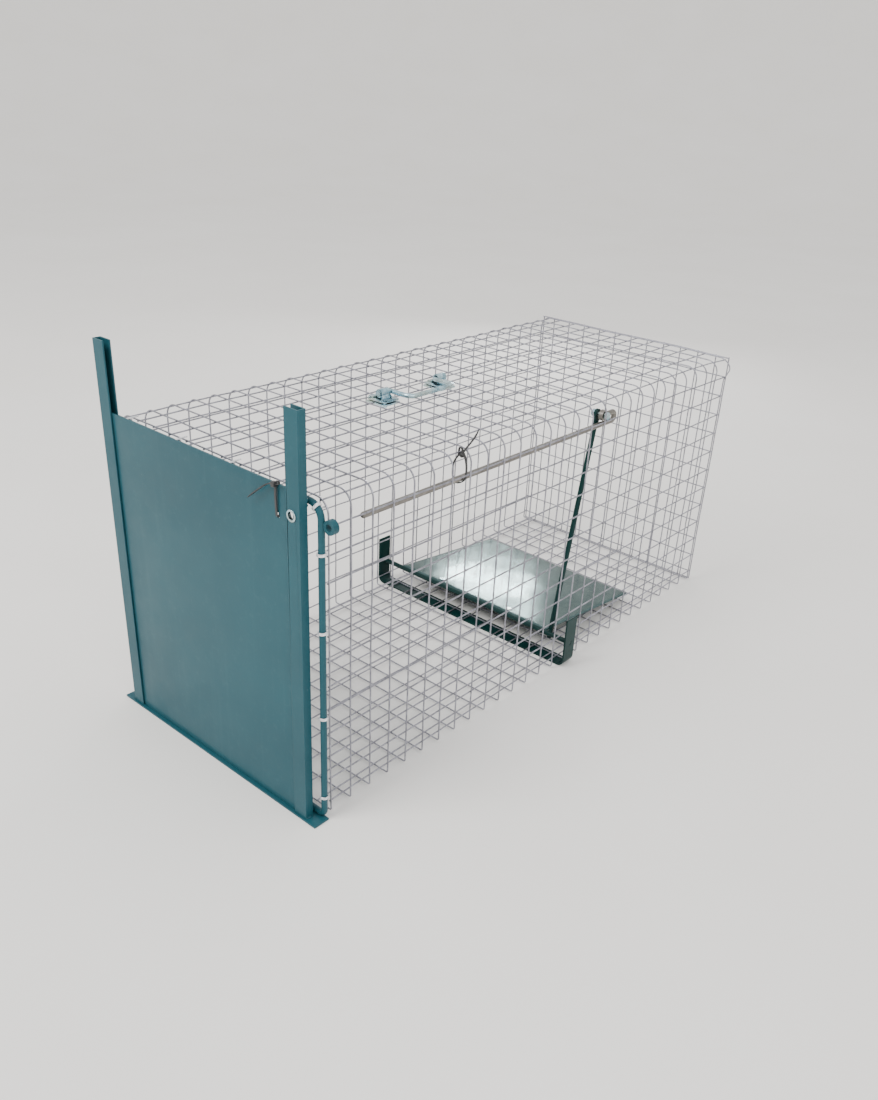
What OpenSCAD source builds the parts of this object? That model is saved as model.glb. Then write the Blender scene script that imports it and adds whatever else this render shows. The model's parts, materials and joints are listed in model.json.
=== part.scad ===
// Live catch trap: a welded-mesh cage with a drop door, a treadle, a lever and a trigger rod.
// Millimetres. The origin is the centre of the sill's underside, the door faces -Y, +Z is up.

/* [Cage] */
// Width of the mesh body over its wires
cage_w = 292; // [280:1:300]
// Height of the mesh body over its wires
cage_h = 318; // [312:1:322]
// Spacing of the welded wires
mesh_pitch = 25.4; // [25:0.1:26]
// Number of cells along the body
cells_long = 27; // [26:1:28]
// Thickness of the mesh wires
wire_d = 1.6; // [1.4:0.1:2]
// Radius of the two bent upper edges, at the middle of the wire
bend_r = 14; // [12:1:18]

/* [Door frame] */
// Length of the flat sill bar under the door
sill_w = 304; // [300:1:310]
// Depth of the sill bar
sill_depth = 18; // [16:1:22]
// Thickness of the sill bar
sill_t = 2; // [1.5:0.5:3]
// Height of the two upright channels
upright_h = 394; // [380:1:420]
// Distance between the outer faces of the uprights
uprights_w = 277; // [272:1:280]
// Width of the channel flanges
flange_w = 16; // [14:0.5:18]
// Depth of the channels
channel_depth = 8.5; // [8:0.5:12]
// Sheet thickness of the channels
channel_t = 1.5; // [1:0.25:2]
// Diameter of the round bar hoop
hoop_d = 6; // [5:0.5:7]
// Bend radius of the hoop, at the middle of the bar
hoop_bend_r = 13; // [12:1:16]

/* [Door] */
// Height of the door sheet's upper edge above the ground
door_top = 327; // [322:1:330]
// Thickness of the door sheet
door_t = 1.2; // [0.8:0.1:1.6]
// Lift of the door when the trap is set
door_travel = 307; // [300:1:310]

/* [Trigger] */
// Diameter of the trigger rod and of the lever
rod_d = 6; // [5:0.5:6]
// Sideways place of the trigger rod
rod_x = 129; // [128:0.5:130]
// Height of the trigger rod when the trap is sprung
rod_z = 283; // [280:1:286]
// Height of the hole that takes the tip of the rod when the trap is set
latch_z = 306; // [305:0.5:307]
// Place of the rod's tip behind the sill's middle when the trap is sprung
rod_tip_y = 70; // [68:1:74]
// Swing of the treadle and lever between sprung and set
treadle_swing = 17; // [16.8:0.1:17.2]

/* [Treadle] */
// Distance of the treadle's pivot behind the sill's middle
pivot_y = 394; // [393:0.5:394.5]
// Height of the treadle's pivot
pivot_z = 30; // [28:1:32]
// Width of the treadle plate
treadle_w = 236; // [226:1:236]
// Length of the treadle plate behind the pivot
treadle_l = 190; // [170:1:200]
// Slope of the treadle when the trap is sprung
treadle_slope = 6.2; // [5.5:0.1:6.5]
// Width of the strap across the floor
strap_w = 20; // [16:1:24]
// Width of the strap over its upturned ends
strap_span = 308; // [302:1:312]
// Height of the strap's upturned ends
strap_h = 63; // [50:1:75]

/* [Handle] */
// Distance between the middles of the two handle brackets
handle_span = 88; // [86:1:92]
// Distance of the handle's middle behind the sill's middle
handle_y = 285; // [283:1:287]
// Sideways place of the handle's pivot
handle_x = -13; // [-14:0.5:-12]
// Diameter of the handle's bail
bail_d = 5; // [4:0.5:5.5]
// Reach of the bail from its pivot
bail_reach = 29; // [26:1:32]

/* [Hidden] */
$fn = 48;

// Colours
GREEN = [0.25, 0.45, 0.47];
DARK_GREEN = [0.08, 0.25, 0.24];
WIRE = [0.72, 0.72, 0.75];
ZINC = [0.75, 0.80, 0.82];
STEEL = [0.42, 0.40, 0.37];
SHEET = [0.68, 0.74, 0.75];
BLACK = [0.06, 0.06, 0.06];

// Fits
FIT = 0.08;          // radial clearance of a pin that turns in its hole
SLIDE = 0.4;         // clearance of the door in its channels
GAP = 0.05;          // gap between a ring and the bar it is wrapped on

// Mesh body
wire_r = wire_d / 2;
side_x = cage_w / 2 - wire_r;                 // middle of the side wires
top_z = cage_h - wire_r;                      // middle of the top wires
bend_x = side_x - bend_r;                     // middle of the bends, sideways
mesh_low = sill_t;                            // underside of the floor wires
mesh_y = 17.5;                                // first cross wire
mesh_l = cells_long * mesh_pitch;             // first to last cross wire
mesh_end = mesh_y + mesh_l;
rear_gap = 2.2;                               // last cross wire to the rear panel
rear_y = mesh_end + wire_r + rear_gap;        // front face of the rear panel
side_first_z = 13.5;                          // lowest wire of the side panels
cross_ys = [for (k = [0 : cells_long]) mesh_y + k * mesh_pitch];
floor_xs = [for (k = [-5 : 5]) k * mesh_pitch];
top_xs = [for (k = [-4.5 : 4.5]) k * mesh_pitch - 2.4];
bend_wire_angle = 64;                         // place of the long wire in a bend, from +X
side_zs = [for (k = [0 : 11]) side_first_z + k * mesh_pitch];

// Door frame
upright_x = uprights_w / 2;                   // outer face of an upright
channel_y = -7;                               // front face of the channels
upright_z = sill_t;
hoop_r = hoop_d / 2;
hoop_foot_r = 5.5;                            // bend at each lower corner, centre line
hoop_y = 7.5;
hoop_x = side_x + 2.5;
hoop_z = top_z - 0.5;
latch_r = 3.6;                                // bore of the latch bush
latch_hole_r = 4.5;
wrap_zs = [26, 114, 201, 274];                // wraps up each leg of the hoop
wrap_step = 3;                                // top wires between two wraps

// Door
door_w = uprights_w - 2 * channel_t - 1;
door_y = channel_y + channel_t + SLIDE;       // front face of the door sheet
door_lip = channel_depth - 2 * channel_t - 2 * SLIDE;
door_z = sill_t + SLIDE;
tie_x = 110;
tie_z = 300;
tie_w = 2.5;
tie_t = 1.2;
tie_hole_r = 2.5;

// Treadle
plate_t = 1;
plate_front = 0;                              // plate in front of the pivot
frame_d = rod_d;
strap_t = mesh_low;                           // the floor wires lie on the strap
strap_bend_r = 9.5;                           // outer radius of the strap's bends
treadle_rivet_r = 2.2;
treadle_rivet_x = 55;
treadle_rivet_y = 8.5;

// Lever and rod
lever_x = treadle_w / 2 + rod_d / 2 + 0.2;    // just past the edge of the plate
lever_y = pivot_y + 51.4;                     // bolt at the lever's top
lever_z = rod_z + 10;
lever_off = frame_d / 2 + rod_d / 2 + GAP;    // the lever stands behind the pivot rod
bolt_reach = norm([lever_y - pivot_y, lever_z - pivot_z]);
lever_l = sqrt(bolt_reach * bolt_reach - lever_off * lever_off);
lever_lean = atan((lever_y - pivot_y) / (lever_z - pivot_z)) - atan(lever_off / lever_l);
lever_eye_r = 5.5;
lever_eye_t = 3;
bolt_r = 2.5;
bolt_head_r = 4.6;
bolt_head_t = 3.5;
nut_t = 4;
rod_eye_r = 6;
rod_eye_t = 5;
rod_bend_r = (lever_z - rod_z) / 2;
rod_bend_y = lever_y + 18;
rod_tie_y = mesh_y + 6.9 * mesh_pitch;

// Handle
base_l = 24;
base_w = 26;
base_t = 2;
lug_l = 13;
lug_r = 5;
bail_r = bail_d / 2;
bail_z = cage_h + base_t + lug_r;
bail_bend_r = 8;
backing_z = cage_h - wire_d - base_t;
handle_rivet_r = 2;
handle_rivet_x = 9;
handle_cells = [8.5, 12.5];                   // mesh cells that the rivets pass through

module mirror_x(side) mirror([side < 0 ? 1 : 0, 0, 0]) children();

// A bar along Y with the wire's thickness, centred on x and z.
module long_bar(x, z, y0, y1) {
    translate([x - wire_r, y0, z - wire_r]) cube([wire_d, y1 - y0, wire_d]);
}

// Flat grid of bars in the XY plane: bars along Y at us, bars along X at vs.
module grid_2d(us, vs, u0, u1, v0, v1) {
    for (u = us) translate([u - wire_r, v0]) square([wire_d, v1 - v0]);
    for (v = vs) translate([u0, v - wire_r]) square([u1 - u0, wire_d]);
}

// A cylinder from one point to another.
module bar(a, b, r) {
    d = b - a;
    l = norm(d);
    translate(a) rotate([0, acos(d.z / l), atan2(d.y, d.x)]) cylinder(r = r, h = l);
}

// A quarter bend of round bar in the XZ plane, from +X to +Z round the origin.
module quarter_bend(bend, r) {
    rotate([90, 0, 0]) rotate_extrude(angle = 90) translate([bend, 0]) circle(r = r);
}

module sill() {
    color(GREEN) translate([-sill_w / 2, -sill_depth / 2, 0]) cube([sill_w, sill_depth, sill_t]);
}

// Channel at the +X side, open towards the door.
module channel_shape() {
    translate([upright_x - flange_w, channel_y, upright_z]) difference() {
        cube([flange_w, channel_depth, upright_h - upright_z]);
        translate([-channel_t, channel_t, -1])
            cube([flange_w, channel_depth - 2 * channel_t, upright_h]);
    }
}

module upright_left() {
    color(GREEN) mirror_x(-1) channel_shape();
}

module upright_right() {
    color(GREEN) difference() {
        channel_shape();
        translate([rod_x, channel_y - 1, latch_z]) rotate([-90, 0, 0])
            cylinder(r = latch_hole_r + GAP, h = channel_t + 2);
        translate([rod_x, 0, latch_z - 0.5]) rotate([-90, 0, 0])
            cylinder(r = latch_hole_r + 0.5, h = 2 * channel_t, center = true);
    }
}

module latch_bush() {
    flange_t = 0.8;
    color(ZINC) translate([rod_x, channel_y, latch_z]) rotate([-90, 0, 0]) difference() {
        union() {
            translate([0, 0, -flange_t]) cylinder(r = latch_hole_r + 0.8, h = flange_t);
            cylinder(r = latch_hole_r, h = channel_t);
        }
        translate([0, 0, -1 - flange_t]) cylinder(r = latch_r, h = channel_t + flange_t + 2);
    }
}

// Closed ring of round bar; its lower corners are bent tighter than the upper ones.
module front_hoop() {
    low = sill_t + hoop_r;
    high = hoop_z - hoop_bend_r;
    foot = hoop_foot_r;
    color(GREEN) translate([0, hoop_y, 0]) {
        for (side = [-1, 1]) mirror_x(side) {
            translate([hoop_x, 0, low + foot]) cylinder(r = hoop_r, h = high - low - foot);
            translate([hoop_x - hoop_bend_r, 0, high]) quarter_bend(hoop_bend_r, hoop_r);
            translate([hoop_x - foot, 0, low + foot]) mirror([0, 0, 1])
                quarter_bend(foot, hoop_r);
        }
        hoop_bar(hoop_z, hoop_x - hoop_bend_r);
        hoop_bar(low, hoop_x - foot);
    }
}

module hoop_bar(z, half) {
    translate([-half, 0, z]) rotate([0, 90, 0]) cylinder(r = hoop_r, h = 2 * half);
}

// Ring welded to the outside of the hoop.
module anchor_eye() {
    eye_r = 6.3;
    eye_t = 6;
    eye_x = hoop_x + hoop_r + eye_r - 0.4;
    color(GREEN) difference() {
        translate([eye_x, hoop_y + 2.5, latch_z - 6]) rotate([90, 0, 0]) difference() {
            cylinder(r = eye_r, h = eye_t, center = true);
            cylinder(r = 3.2, h = eye_t + 2, center = true);
        }
        translate([hoop_x, hoop_y, latch_z - 6]) cylinder(r = hoop_r + GAP, h = 3 * eye_r, center = true);
    }
}

// Top or floor: bars along Y at the columns, bars along X at every cross wire.
module flat_panel(z, columns, half) {
    color(WIRE) translate([0, 0, z - wire_r]) linear_extrude(wire_d)
        grid_2d(columns, cross_ys, -half, half, mesh_y - wire_r, rear_y);
}

module mesh_floor() flat_panel(mesh_low + wire_r, floor_xs, side_x - wire_r);

module mesh_top() flat_panel(top_z, top_xs, bend_x);

// Side: the grid is drawn in YZ and stood up at the side of the cage.
module side_panel(side) {
    color(WIRE) translate([side * side_x - wire_r, 0, 0])
        rotate([90, 0, 90]) linear_extrude(wire_d)
            grid_2d(cross_ys, side_zs, mesh_y - wire_r, rear_y, mesh_low + wire_r, top_z - bend_r);
}

module mesh_left() side_panel(-1);

module mesh_right() side_panel(1);

// Bent upper edge: a quarter ring for each cross wire and one long wire over the rings.
module bent_edge(side) {
    color(WIRE) mirror_x(side) translate([bend_x, 0, top_z - bend_r]) {
        for (y = cross_ys) translate([0, y, 0]) rotate([90, 0, 0]) rotate_extrude(angle = 90)
            translate([bend_r - wire_r, -wire_r]) square(wire_d);
        long_bar(bend_r * cos(bend_wire_angle), bend_r * sin(bend_wire_angle), mesh_y - wire_r, rear_y);
    }
}

module mesh_bend_left() bent_edge(-1);

module mesh_bend_right() bent_edge(1);

module mesh_rear() {
    rows = concat([mesh_low + wire_r], side_zs, [top_z]);
    columns = concat([-side_x], floor_xs, [side_x]);
    color(WIRE) translate([0, rear_y + wire_d, 0]) rotate([90, 0, 0]) linear_extrude(wire_d)
        grid_2d(columns, rows, -cage_w / 2, cage_w / 2, mesh_low, cage_h);
}

// Wire end wrapped round a bar that stands along Z, with its leg back to the first cross wire.
module wrap() {
    ring_r = hoop_r + GAP;
    difference() {
        union() {
            translate([0, 0, -wire_r]) cylinder(r = ring_r + wire_d, h = wire_d);
            translate([-wire_r, 0, -wire_r]) cube([wire_d, mesh_y - wire_r - GAP - hoop_y, wire_d]);
        }
        translate([0, 0, -wire_d]) cylinder(r = ring_r, h = 2 * wire_d);
    }
}

module hoop_wraps() {
    color(WIRE) translate([0, hoop_y, 0]) {
        for (side = [-1, 1], z = wrap_zs) translate([side * hoop_x, 0, z]) wrap();
        for (k = [0 : wrap_step : len(top_xs) - 1])
            translate([top_xs[k], 0, hoop_z]) rotate([0, 90, 0]) wrap();
    }
}

module door_panel() {
    color(GREEN) difference() {
        translate([-door_w / 2, door_y, door_z]) cube([door_w, door_lip, door_top - door_z]);
        translate([-door_w / 2 + door_t, door_y + door_t, door_z - 1])
            cube([door_w - 2 * door_t, door_lip, door_top]);
        translate([rod_x, door_y - 1, latch_z]) rotate([-90, 0, 0])
            cylinder(r = latch_hole_r, h = door_lip + 2);
        translate([tie_x, door_y - 1, tie_z]) rotate([-90, 0, 0])
            cylinder(r = tie_hole_r, h = door_lip + 2);
    }
}

// Flat closed band with round corners, inner size w by h, lying in the XY plane.
module band(w, h, corner, thick, wide) {
    linear_extrude(wide) difference() {
        round_rect(w + 2 * thick, h + 2 * thick, corner + thick);
        round_rect(w, h, corner);
    }
}

module round_rect(w, h, corner) {
    square([w - 2 * corner, h], center = true);
    square([w, h - 2 * corner], center = true);
    for (x = [-1, 1], y = [-1, 1])
        translate([x * (w / 2 - corner), y * (h / 2 - corner)]) circle(r = corner);
}

// Cable tie through the small hole and over the door's upper edge, with its long tail.
module door_tie() {
    inner_h = door_top - tie_z + 2;
    inner_w = door_t + 1.6;
    mid_y = door_y + door_t / 2;
    tail_l = 37;
    tail_drop = 33;
    stub_l = 6.8;
    stub_rise = 17;
    color(BLACK) translate([tie_x, mid_y, tie_z + inner_h / 2 - 0.6]) {
        translate([-tie_w / 2, 0, 0]) rotate([90, 0, 90]) band(inner_w, inner_h, 1, tie_t, tie_w);
        translate([0, -inner_w / 2 - tie_t - 3, inner_h / 2 - 3]) {
            translate([-tie_w, 0, 0]) cube([2 * tie_w, 3, 4]);
            translate([0, 1, 2]) rotate([0, 180 - tail_drop, 0]) translate([0, 0, -tie_w / 2])
                cube([tail_l, tie_t, tie_w]);
            translate([0, 1, 2]) rotate([0, -stub_rise, 0]) translate([0, 0, -tie_w / 2])
                cube([stub_l, tie_t, tie_w]);
        }
    }
}

// Flat strap under the floor; its two upturned ends stand outside the sides and carry the pivot.
module treadle_bracket() {
    half = strap_span / 2;
    flat_half = half - strap_bend_r;
    color(DARK_GREEN) translate([0, pivot_y, 0]) difference() {
        union() {
            translate([-flat_half, -strap_w / 2, 0]) cube([2 * flat_half, strap_w, strap_t]);
            for (side = [-1, 1]) mirror_x(side) {
                translate([half - strap_t, -strap_w / 2, strap_bend_r])
                    cube([strap_t, strap_w, strap_h - strap_bend_r]);
                translate([flat_half, strap_w / 2, strap_bend_r])
                    rotate([90, 0, 0]) rotate_extrude(angle = 90, start = -90)
                        translate([strap_bend_r - strap_t, 0]) square([strap_t, strap_w]);
            }
        }
        translate([0, 0, pivot_z]) rotate([0, 90, 0])
            cylinder(r = frame_d / 2 + FIT, h = strap_span + 2, center = true);
    }
}

// Places children drawn round the pivot, tilted as the sprung treadle is.
module on_treadle() {
    translate([0, pivot_y, pivot_z]) rotate([-treadle_slope, 0, 0]) children();
}

module rivet_places() {
    for (side = [-1, 1]) translate([side * treadle_rivet_x, treadle_rivet_y, 0]) children();
}

module treadle_plate() {
    color(SHEET) on_treadle() difference() {
        translate([-treadle_w / 2, -plate_front, frame_d / 2])
            cube([treadle_w, treadle_l + plate_front, plate_t]);
        rivet_places() cylinder(r = treadle_rivet_r, h = 2 * frame_d);
    }
}

// Flat bars under the plate: one behind the pivot rod and one along each side.
module treadle_frame() {
    bar_w = 12;
    bar_t = 3;
    start = frame_d / 2 + GAP;
    bar_half = treadle_w / 2 - 2;
    color(DARK_GREEN) on_treadle() translate([0, 0, frame_d / 2 - bar_t]) difference() {
        union() {
            translate([-bar_half, start, 0]) cube([2 * bar_half, bar_w, bar_t]);
            for (side = [-1, 1]) mirror_x(side) translate([bar_half - bar_w, start, 0])
                cube([bar_w, treadle_l - start, bar_t]);
        }
        rivet_places() translate([0, 0, -1]) cylinder(r = treadle_rivet_r, h = 2 * frame_d);
    }
}

module treadle_rivets() {
    head_r = 3.6;
    head_t = 1;
    color(ZINC) on_treadle() rivet_places() {
        translate([0, 0, frame_d / 2 + plate_t]) cylinder(r = head_r, h = head_t);
        translate([0, 0, frame_d / 2 - 3]) cylinder(r = treadle_rivet_r - GAP, h = 3 + plate_t);
    }
}

module pivot_rod() {
    half = strap_span / 2 - 0.3;
    color(DARK_GREEN) translate([-half, pivot_y, pivot_z]) rotate([0, 90, 0])
        cylinder(r = frame_d / 2, h = 2 * half);
}

// Round bar welded behind the pivot rod, up to a flat eye.
module lever() {
    foot = 7;                                     // below the pivot's middle
    neck = lever_eye_r + 2;                       // round bar ends this far below the bolt
    color(DARK_GREEN) translate([lever_x, pivot_y, pivot_z]) rotate([-lever_lean, 0, 0])
        translate([0, lever_off, 0]) difference() {
            union() {
                translate([0, 0, -foot]) cylinder(r = rod_d / 2, h = lever_l - neck + foot);
                translate([-lever_eye_t / 2, -lever_eye_r + 1, lever_l - neck - 4])
                    cube([lever_eye_t, 2 * lever_eye_r - 2, neck + 4]);
                translate([-lever_eye_t / 2, 0, lever_l]) rotate([0, 90, 0])
                    cylinder(r = lever_eye_r, h = lever_eye_t);
            }
            translate([0, 0, lever_l]) rotate([0, 90, 0])
                cylinder(r = bolt_r + GAP, h = 2 * rod_d, center = true);
        }
}

module lever_bolt() {
    head_x = rod_x + rod_d / 2 + 0.3;
    tail_x = lever_x - lever_eye_t / 2 - nut_t - 1.5;
    color(ZINC) translate([0, lever_y, lever_z]) {
        translate([tail_x, 0, 0]) rotate([0, 90, 0]) cylinder(r = bolt_r, h = head_x - tail_x);
        translate([head_x, 0, 0]) rotate([0, 90, 0]) cylinder(r = bolt_head_r, h = bolt_head_t, $fn = 6);
    }
}

module lever_nut() {
    color(ZINC) translate([lever_x - lever_eye_t / 2 - nut_t, lever_y, lever_z]) rotate([0, 90, 0])
        difference() {
            cylinder(r = bolt_head_r, h = nut_t - GAP, $fn = 6);
            translate([0, 0, -1]) cylinder(r = bolt_r + GAP / 2, h = nut_t + 2);
        }
}

// Straight rod whose rear end turns up and back to an eye on the lever's bolt.
module trigger_rod() {
    r = rod_d / 2;
    color(STEEL) translate([rod_x, 0, 0]) difference() {
        union() {
            bar([0, rod_tip_y + r, rod_z], [0, rod_bend_y, rod_z], r);
            translate([0, rod_tip_y + r, rod_z]) sphere(r = r);
            translate([0, rod_bend_y, rod_z + rod_bend_r]) rotate([90, 0, 90])
                rotate_extrude(angle = 180, start = -90) translate([rod_bend_r, 0]) circle(r = r);
            bar([0, lever_y, lever_z], [0, rod_bend_y, lever_z], r);
            translate([-rod_eye_t / 2, lever_y, lever_z]) rotate([0, 90, 0])
                cylinder(r = rod_eye_r, h = rod_eye_t);
        }
        translate([-rod_d, lever_y, lever_z]) rotate([0, 90, 0]) cylinder(r = bolt_r + FIT, h = 2 * rod_d);
    }
}

// Cable tie round the long wire in the bent edge and, loosely, round the rod.
module rod_tie() {
    inner_w = 14.5;
    inner_h = 38.7;
    low_z = rod_z - rod_d / 2 - 0.5;
    left_x = rod_x - rod_d / 2 - 0.8;
    head_low = inner_h - 9;
    tail_l = 31;
    tail_rise = 33;
    color(BLACK) translate([left_x, rod_tie_y, low_z]) {
        translate([inner_w / 2, tie_w / 2, inner_h / 2]) rotate([90, 0, 0])
            band(inner_w, inner_h, 4, tie_t, tie_w);
        translate([inner_w + tie_t, 0, head_low]) {
            translate([-GAP, -4.5, 0]) cube([4, 2 * tie_w, 4]);
            translate([2, 0, 3.9]) rotate([tail_rise, 0, 0]) translate([-tie_w / 2, 0, 0])
                cube([tie_w, tail_l, tie_t]);
        }
    }
}

// Middle and rivet line of each handle bracket along the cage, front one first.
handle_ys = [handle_y - handle_span / 2, handle_y + handle_span / 2];
handle_rivet_ys = [for (cell = handle_cells) mesh_y + cell * mesh_pitch];

module handle_rivet_places(end) {
    for (side = [-1, 1])
        translate([handle_x + side * handle_rivet_x, handle_rivet_ys[end], 0]) children();
}

// Sheet bracket on top of the mesh, rolled up into a tunnel that holds one end of the bail.
module handle_bracket(end) {
    rise = bail_z - cage_h;
    color(ZINC) difference() {
        translate([handle_x, handle_ys[end], cage_h]) {
            translate([-base_w / 2, -base_l / 2, 0]) cube([base_w, base_l, base_t]);
            translate([-lug_r, -lug_l / 2, 0]) cube([2 * lug_r, lug_l, rise]);
            translate([0, 0, rise]) rotate([90, 0, 0]) cylinder(r = lug_r, h = lug_l, center = true);
        }
        translate([handle_x, handle_ys[end], bail_z]) rotate([90, 0, 0])
            cylinder(r = bail_r + FIT, h = 2 * lug_l, center = true);
        handle_rivet_places(end) translate([0, 0, cage_h - 1])
            cylinder(r = handle_rivet_r, h = base_t + 2);
    }
}

module handle_bracket_front() handle_bracket(0);

module handle_bracket_rear() handle_bracket(1);

// Plate under the mesh that the bracket's rivets pull against.
module handle_backing(end) {
    color(ZINC) difference() {
        translate([handle_x - base_w / 2, handle_ys[end] - base_l / 2, backing_z])
            cube([base_w, base_l, base_t]);
        handle_rivet_places(end) translate([0, 0, backing_z - 1])
            cylinder(r = handle_rivet_r, h = base_t + 2);
    }
}

module handle_backing_front() handle_backing(0);

module handle_backing_rear() handle_backing(1);

module handle_rivets() {
    head_r = 3.2;
    head_t = 1.2;
    low = backing_z - head_t;
    high = cage_h + base_t;
    color(ZINC) for (end = [0, 1]) handle_rivet_places(end) {
        translate([0, 0, low]) cylinder(r = head_r, h = head_t);
        translate([0, 0, low]) cylinder(r = handle_rivet_r - GAP, h = high - low);
        translate([0, 0, high]) cylinder(r = head_r, h = head_t);
    }
}

// Bail lying flat towards +X: two pivots in the lugs, two arms and the grip.
module handle_bail() {
    pin = handle_span / 2 + lug_l / 2 + 1;
    arm_y = handle_span / 2 - lug_l / 2 - 1 - bail_r;   // arms run inside the lugs
    grip_x = bail_reach - bail_bend_r;
    color(ZINC) translate([handle_x, handle_y, bail_z]) {
        for (side = [-1, 1]) mirror([0, side < 0 ? 1 : 0, 0]) {
            translate([0, pin, 0]) rotate([90, 0, 0]) cylinder(r = bail_r, h = pin - arm_y);
            translate([0, arm_y, 0]) sphere(r = bail_r);
            translate([0, arm_y, 0]) rotate([0, 90, 0]) cylinder(r = bail_r, h = grip_x);
            translate([grip_x, arm_y - bail_bend_r, 0]) rotate_extrude(angle = 90)
                translate([bail_bend_r, 0]) circle(r = bail_r);
        }
        translate([bail_reach, arm_y - bail_bend_r, 0]) rotate([90, 0, 0])
            cylinder(r = bail_r, h = 2 * (arm_y - bail_bend_r));
    }
}

sill();
upright_left();
upright_right();
front_hoop();
anchor_eye();
latch_bush();
mesh_floor();
mesh_top();
mesh_left();
mesh_right();
mesh_rear();
mesh_bend_left();
mesh_bend_right();
hoop_wraps();
door_panel();
door_tie();
treadle_bracket();
treadle_plate();
treadle_frame();
treadle_rivets();
pivot_rod();
lever();
lever_bolt();
lever_nut();
trigger_rod();
rod_tie();
handle_bracket_front();
handle_bracket_rear();
handle_backing_front();
handle_backing_rear();
handle_rivets();
handle_bail();
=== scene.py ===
import json
import math
import bpy
from mathutils import Matrix, Vector, noise


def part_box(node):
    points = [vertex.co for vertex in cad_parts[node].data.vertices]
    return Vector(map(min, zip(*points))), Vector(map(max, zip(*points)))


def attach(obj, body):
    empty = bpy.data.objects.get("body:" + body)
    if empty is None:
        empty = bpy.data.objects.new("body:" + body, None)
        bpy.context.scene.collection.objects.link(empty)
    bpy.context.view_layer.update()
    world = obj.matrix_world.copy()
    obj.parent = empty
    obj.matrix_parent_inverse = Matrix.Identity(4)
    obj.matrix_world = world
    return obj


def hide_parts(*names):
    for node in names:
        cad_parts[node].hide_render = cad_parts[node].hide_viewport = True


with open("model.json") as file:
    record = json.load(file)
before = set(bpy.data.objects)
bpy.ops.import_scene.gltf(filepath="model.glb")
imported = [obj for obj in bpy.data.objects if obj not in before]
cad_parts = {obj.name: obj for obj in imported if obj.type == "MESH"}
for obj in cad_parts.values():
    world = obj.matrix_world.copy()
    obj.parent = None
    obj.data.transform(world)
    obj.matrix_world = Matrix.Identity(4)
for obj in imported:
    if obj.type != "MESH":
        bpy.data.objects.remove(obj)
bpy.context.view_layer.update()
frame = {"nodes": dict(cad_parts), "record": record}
MM = 0.001
noise.seed_set(7)     # noise_vector would take its offsets from the clock


# ---------------------------------------------------------------- camera, floor and light

def make_camera():
    """Camera at the photograph's angle: azimuth, elevation and a small roll."""
    azimuth, elevation, roll = (math.radians(a) for a in (39.438, 27.736, 3.258))
    place = Vector((674.36, -469.73, 621.75)) * MM
    forward = Vector((-math.sin(azimuth) * math.cos(elevation),
                      math.cos(azimuth) * math.cos(elevation), -math.sin(elevation)))
    right = forward.cross(Vector((0, 0, 1))).normalized()
    up = right.cross(forward)
    rolled_right = math.cos(roll) * right + math.sin(roll) * up
    rolled_up = rolled_right.cross(forward)
    data = bpy.data.cameras.new("camera")
    data.lens = 31.96
    data.sensor_width = 36
    data.shift_x = -0.0092
    data.shift_y = 0.0326
    data.clip_start = 0.01
    cam = bpy.data.objects.new("camera", data)
    bpy.context.scene.collection.objects.link(cam)
    turn = Matrix((rolled_right, rolled_up, -forward)).transposed()
    cam.matrix_world = Matrix.Translation(place) @ turn.to_4x4()
    bpy.context.scene.camera = cam


def area_light(name, place, target, size, power, colour=(1, 1, 1)):
    """Rectangular lamp that faces its target and that the camera can't see."""
    data = bpy.data.lights.new(name, "AREA")
    data.shape = "RECTANGLE"
    data.size, data.size_y = size
    data.energy = power
    data.color = colour
    light = bpy.data.objects.new(name, data)
    bpy.context.scene.collection.objects.link(light)
    light.location = place
    light.visible_camera = False
    light.rotation_euler = (Vector(target) - Vector(place)).to_track_quat("-Z", "Y").to_euler()


def make_studio():
    """Even white surroundings, two soft lamps, and a small one that glares off the treadle."""
    world = bpy.data.worlds.new("studio")
    bpy.context.scene.world = world
    world.use_nodes = True
    background = world.node_tree.nodes["Background"]
    background.inputs["Color"].default_value = (1.0, 1.0, 1.0, 1)
    background.inputs["Strength"].default_value = 1.25
    middle = (0, 0.35, 0.15)
    area_light("key", (-0.5, -1.5, 2.4), middle, (1.3, 1.0), 60, (1.0, 0.985, 0.96))
    area_light("right_fill", (2.2, -0.2, 1.5), middle, (1.6, 1.6), 18, (0.96, 0.98, 1.0))
    treadle = (0.0, 0.425, 0.03)
    area_light("rear_glare", (-0.852, 1.689, 0.517), treadle, (0.26, 0.06), 4.2)


def make_floor():
    """Pale round floor that rises gently far outside, so no horizon shows."""
    flat, rise, slices, sides, middle_y = 4200.0, 3600.0, 18, 96, 350
    profile = [(0.01, 0.0), (1500.0, 0.0), (flat, 0.0)]
    for k in range(1, slices + 1):
        a = math.radians(90 * k / slices)
        profile.append((flat + rise * math.sin(a), rise * (1 - math.cos(a))))
    shape = Shape()
    shape.rings([[Vector((radius * x, radius * y + middle_y, z)) for x, y in circle(1.0, sides)]
                 for radius, z in profile], capped=False)
    mesh = bpy.data.meshes.new("floor")
    mesh.from_pydata([p * MM for p in shape.points], [], [tuple(reversed(f)) for f in shape.faces])
    mesh.materials.append(floor_material("floor"))
    mesh.shade_smooth()
    floor = bpy.data.objects.new("floor", mesh)
    bpy.context.scene.collection.objects.link(floor)


# ---------------------------------------------------------------- materials

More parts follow.
